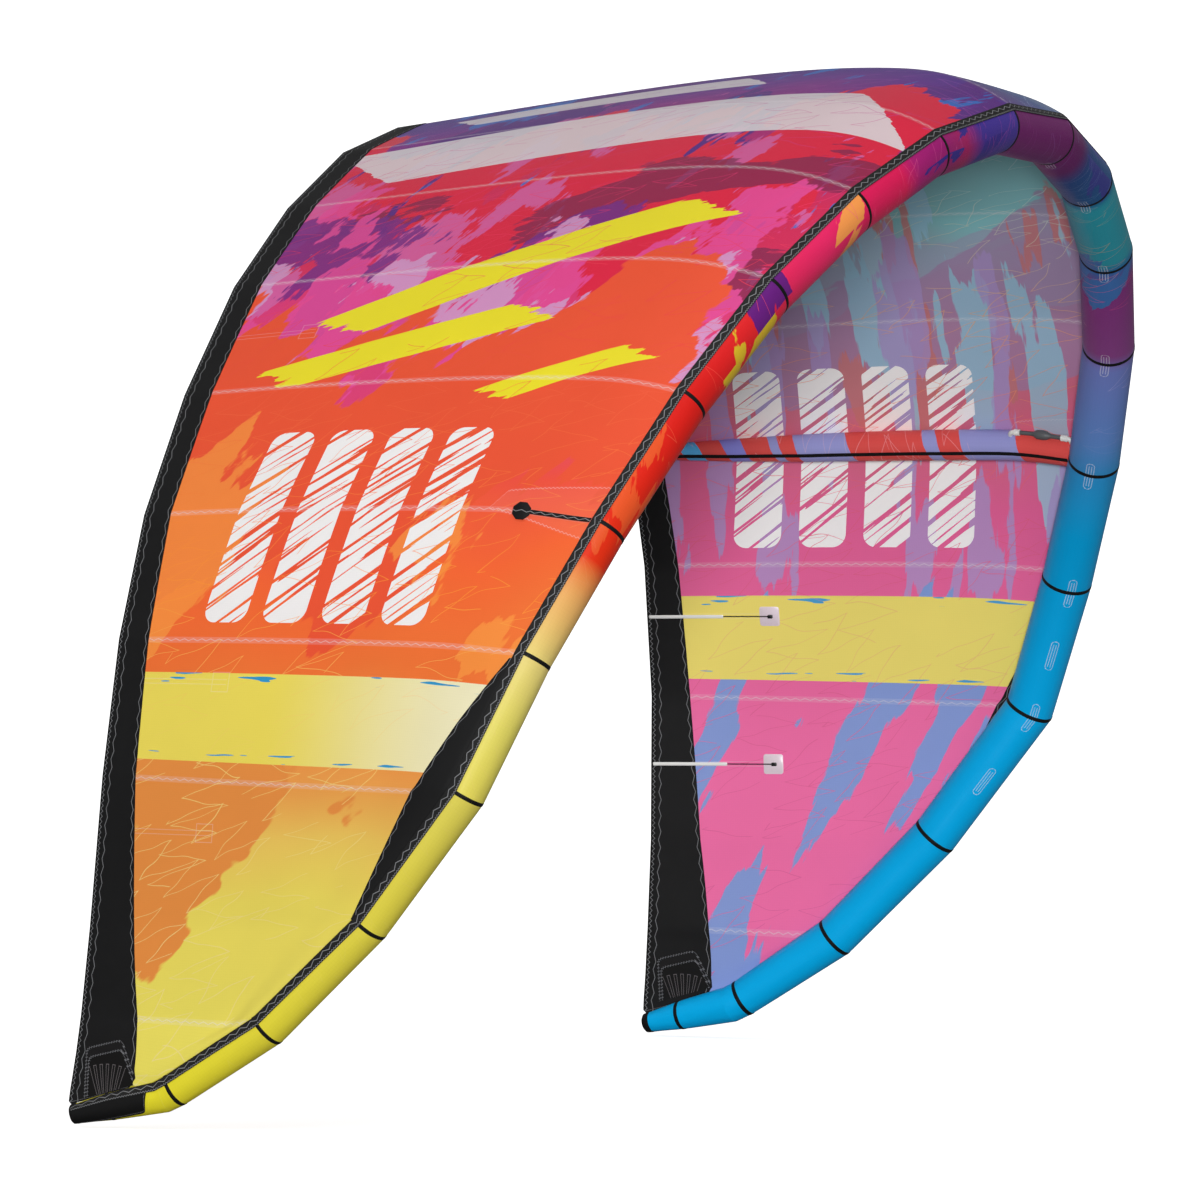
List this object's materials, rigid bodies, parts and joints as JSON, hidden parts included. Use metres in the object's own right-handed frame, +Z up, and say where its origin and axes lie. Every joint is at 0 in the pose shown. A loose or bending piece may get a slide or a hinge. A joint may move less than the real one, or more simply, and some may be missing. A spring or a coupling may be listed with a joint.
{
  "type": "kitesurfing kite",
  "caption": "Inflatable kite for kitesurfing: a tapered leading edge tube bent into an arch, struts under a thin cambered canopy, and black reinforcing bands.",
  "frame": {"origin": "the foremost point of the leading edge tube, in the plane of symmetry", "axes": "+Z up as the kite hangs in the air, +Y from the leading edge towards the trailing edge, X across the wing"},
  "size_m": [3.9134, 1.8149, 2.6059],
  "materials": {
    "tube_purple": "coated woven polyester",
    "tube_blue": "coated woven polyester",
    "tube_magenta": "coated woven polyester",
    "tube_red": "coated woven polyester",
    "tube_yellow": "coated woven polyester",
    "canopy_slate": "thin coated ripstop",
    "canopy_pink": "thin coated ripstop",
    "canopy_magenta": "thin coated ripstop",
    "canopy_orange": "thin coated ripstop",
    "canopy_yellow": "thin coated ripstop",
    "reinforcement_black": "matt woven tape",
    "strut_red": "coated woven polyester",
    "batten_white": "smooth",
    "hose_grey": "smooth"
  },
  "bodies": {
    "root": {"batten_lower_left": "batten_white", "batten_lower_right": "batten_white", "batten_middle_left": "batten_white", "batten_middle_right": "batten_white", "batten_upper_left": "batten_white", "batten_upper_right": "batten_white", "canopy_panel_1_left": "canopy_magenta", "canopy_panel_1_right": "canopy_slate", "canopy_panel_2_left": "canopy_magenta", "canopy_panel_2_right": "canopy_slate", "canopy_panel_3_left": "canopy_magenta", "canopy_panel_3_right": "canopy_slate", "canopy_panel_4_left": "canopy_orange", "canopy_panel_4_right": "canopy_slate", "canopy_panel_5_left": "canopy_orange", "canopy_panel_5_right": "canopy_slate", "canopy_panel_6_left": "canopy_orange", "canopy_panel_6_right": "canopy_pink", "canopy_panel_7_left": "canopy_yellow", "canopy_panel_7_right": "canopy_pink", "canopy_panel_8_left": "canopy_yellow", "canopy_panel_8_right": "canopy_pink", "canopy_panel_9_left": "canopy_yellow", "canopy_panel_9_right": "canopy_pink", "closing_strip": "reinforcement_black", "inflation_hose_left": "hose_grey", "inflation_hose_right": "hose_grey", "reinforcing_wedge_left": "reinforcement_black", "reinforcing_wedge_right": "reinforcement_black", "strut_centre": "strut_red", "strut_side_left": "strut_red", "strut_side_right": "strut_red", "strut_strap_left": "reinforcement_black", "strut_strap_right": "reinforcement_black", "tip_cover_left": "reinforcement_black", "tip_cover_right": "reinforcement_black", "trailing_edge_band_left": "reinforcement_black", "trailing_edge_band_right": "reinforcement_black", "tube_10_left": "tube_yellow", "tube_10_right": "tube_blue", "tube_1_left": "tube_magenta", "tube_1_right": "tube_purple", "tube_2_left": "tube_magenta", "tube_2_right": "tube_purple", "tube_3_left": "tube_magenta", "tube_3_right": "tube_purple", "tube_4_left": "tube_red", "tube_4_right": "tube_blue", "tube_5_left": "tube_red", "tube_5_right": "tube_blue", "tube_6_left": "tube_red", "tube_6_right": "tube_blue", "tube_7_left": "tube_yellow", "tube_7_right": "tube_blue", "tube_8_left": "tube_yellow", "tube_8_right": "tube_blue", "tube_9_left": "tube_yellow", "tube_9_right": "tube_blue", "tube_tip_left": "tube_yellow", "tube_tip_right": "tube_blue"}
  },
  "joints": []
}
